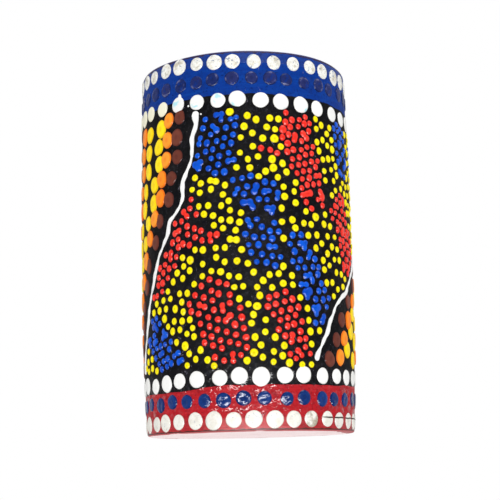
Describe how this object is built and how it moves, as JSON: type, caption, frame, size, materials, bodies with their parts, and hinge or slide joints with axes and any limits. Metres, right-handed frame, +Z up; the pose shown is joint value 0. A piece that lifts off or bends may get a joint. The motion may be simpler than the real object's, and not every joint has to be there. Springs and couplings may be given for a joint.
{
  "type": "rainstick",
  "caption": "Short, wide rainstick: a dot-painted tube closed by end discs, with pins in a helix inside and loose pebbles that run down past them.",
  "frame": {"origin": "centre of the flat lower face, on the surface that the stick stands on", "axes": "+Z up along the tube's axis, from the red lower end to the blue upper end; +X and +Y across it"},
  "size_m": [0.0672, 0.0672, 0.115],
  "materials": {
    "tube_wood": "satin",
    "disc_wood": "matte",
    "pin_bamboo": "matte",
    "pebble_stone": "matte",
    "paint_black": "gloss",
    "paint_blue": "gloss",
    "paint_navy": "gloss",
    "paint_red": "gloss",
    "paint_dot_blue": "gloss",
    "paint_dot_red": "gloss",
    "paint_dot_yellow": "gloss",
    "paint_dot_orange": "gloss",
    "paint_dot_brown": "gloss",
    "paint_white": "gloss",
    "paint_pink_wash": "matte"
  },
  "bodies": {
    "stick": {"tube": "tube_wood", "lower_end_disc": "disc_wood", "upper_end_disc": "disc_wood", "pins_turn_1": "pin_bamboo", "pins_turn_2": "pin_bamboo", "pins_turn_3": "pin_bamboo", "pins_turn_4": "pin_bamboo"},
    "pebbles_channel_01": {"pebbles_channel_01": "pebble_stone"},
    "pebbles_channel_02": {"pebbles_channel_02": "pebble_stone"},
    "pebbles_channel_03": {"pebbles_channel_03": "pebble_stone"},
    "pebbles_channel_04": {"pebbles_channel_04": "pebble_stone"},
    "pebbles_channel_05": {"pebbles_channel_05": "pebble_stone"},
    "pebbles_channel_06": {"pebbles_channel_06": "pebble_stone"},
    "pebbles_channel_07": {"pebbles_channel_07": "pebble_stone"},
    "pebbles_channel_08": {"pebbles_channel_08": "pebble_stone"},
    "pebbles_channel_09": {"pebbles_channel_09": "pebble_stone"},
    "pebbles_channel_10": {"pebbles_channel_10": "pebble_stone"},
    "pebbles_channel_11": {"pebbles_channel_11": "pebble_stone"},
    "pebbles_channel_12": {"pebbles_channel_12": "pebble_stone"},
    "pebbles_core": {"pebbles_core": "pebble_stone"}
  },
  "joints": [
    {"name": "fall_channel_01", "type": "slide", "parent": "stick", "child": "pebbles_channel_01", "axis": [0, 0, 1], "range_m": [0, 0.0966]},
    {"name": "fall_channel_02", "type": "slide", "parent": "stick", "child": "pebbles_channel_02", "axis": [0, 0, 1], "range_m": [0, 0.0966]},
    {"name": "fall_channel_03", "type": "slide", "parent": "stick", "child": "pebbles_channel_03", "axis": [0, 0, 1], "range_m": [0, 0.0966]},
    {"name": "fall_channel_04", "type": "slide", "parent": "stick", "child": "pebbles_channel_04", "axis": [0, 0, 1], "range_m": [0, 0.0966]},
    {"name": "fall_channel_05", "type": "slide", "parent": "stick", "child": "pebbles_channel_05", "axis": [0, 0, 1], "range_m": [0, 0.0966]},
    {"name": "fall_channel_06", "type": "slide", "parent": "stick", "child": "pebbles_channel_06", "axis": [0, 0, 1], "range_m": [0, 0.0966]},
    {"name": "fall_channel_07", "type": "slide", "parent": "stick", "child": "pebbles_channel_07", "axis": [0, 0, 1], "range_m": [0, 0.0966]},
    {"name": "fall_channel_08", "type": "slide", "parent": "stick", "child": "pebbles_channel_08", "axis": [0, 0, 1], "range_m": [0, 0.0966]},
    {"name": "fall_channel_09", "type": "slide", "parent": "stick", "child": "pebbles_channel_09", "axis": [0, 0, 1], "range_m": [0, 0.0966]},
    {"name": "fall_channel_10", "type": "slide", "parent": "stick", "child": "pebbles_channel_10", "axis": [0, 0, 1], "range_m": [0, 0.0966]},
    {"name": "fall_channel_11", "type": "slide", "parent": "stick", "child": "pebbles_channel_11", "axis": [0, 0, 1], "range_m": [0, 0.0966]},
    {"name": "fall_channel_12", "type": "slide", "parent": "stick", "child": "pebbles_channel_12", "axis": [0, 0, 1], "range_m": [0, 0.0966]},
    {"name": "fall_core", "type": "slide", "parent": "stick", "child": "pebbles_core", "axis": [0, 0, 1], "range_m": [0, 0.0966]}
  ]
}
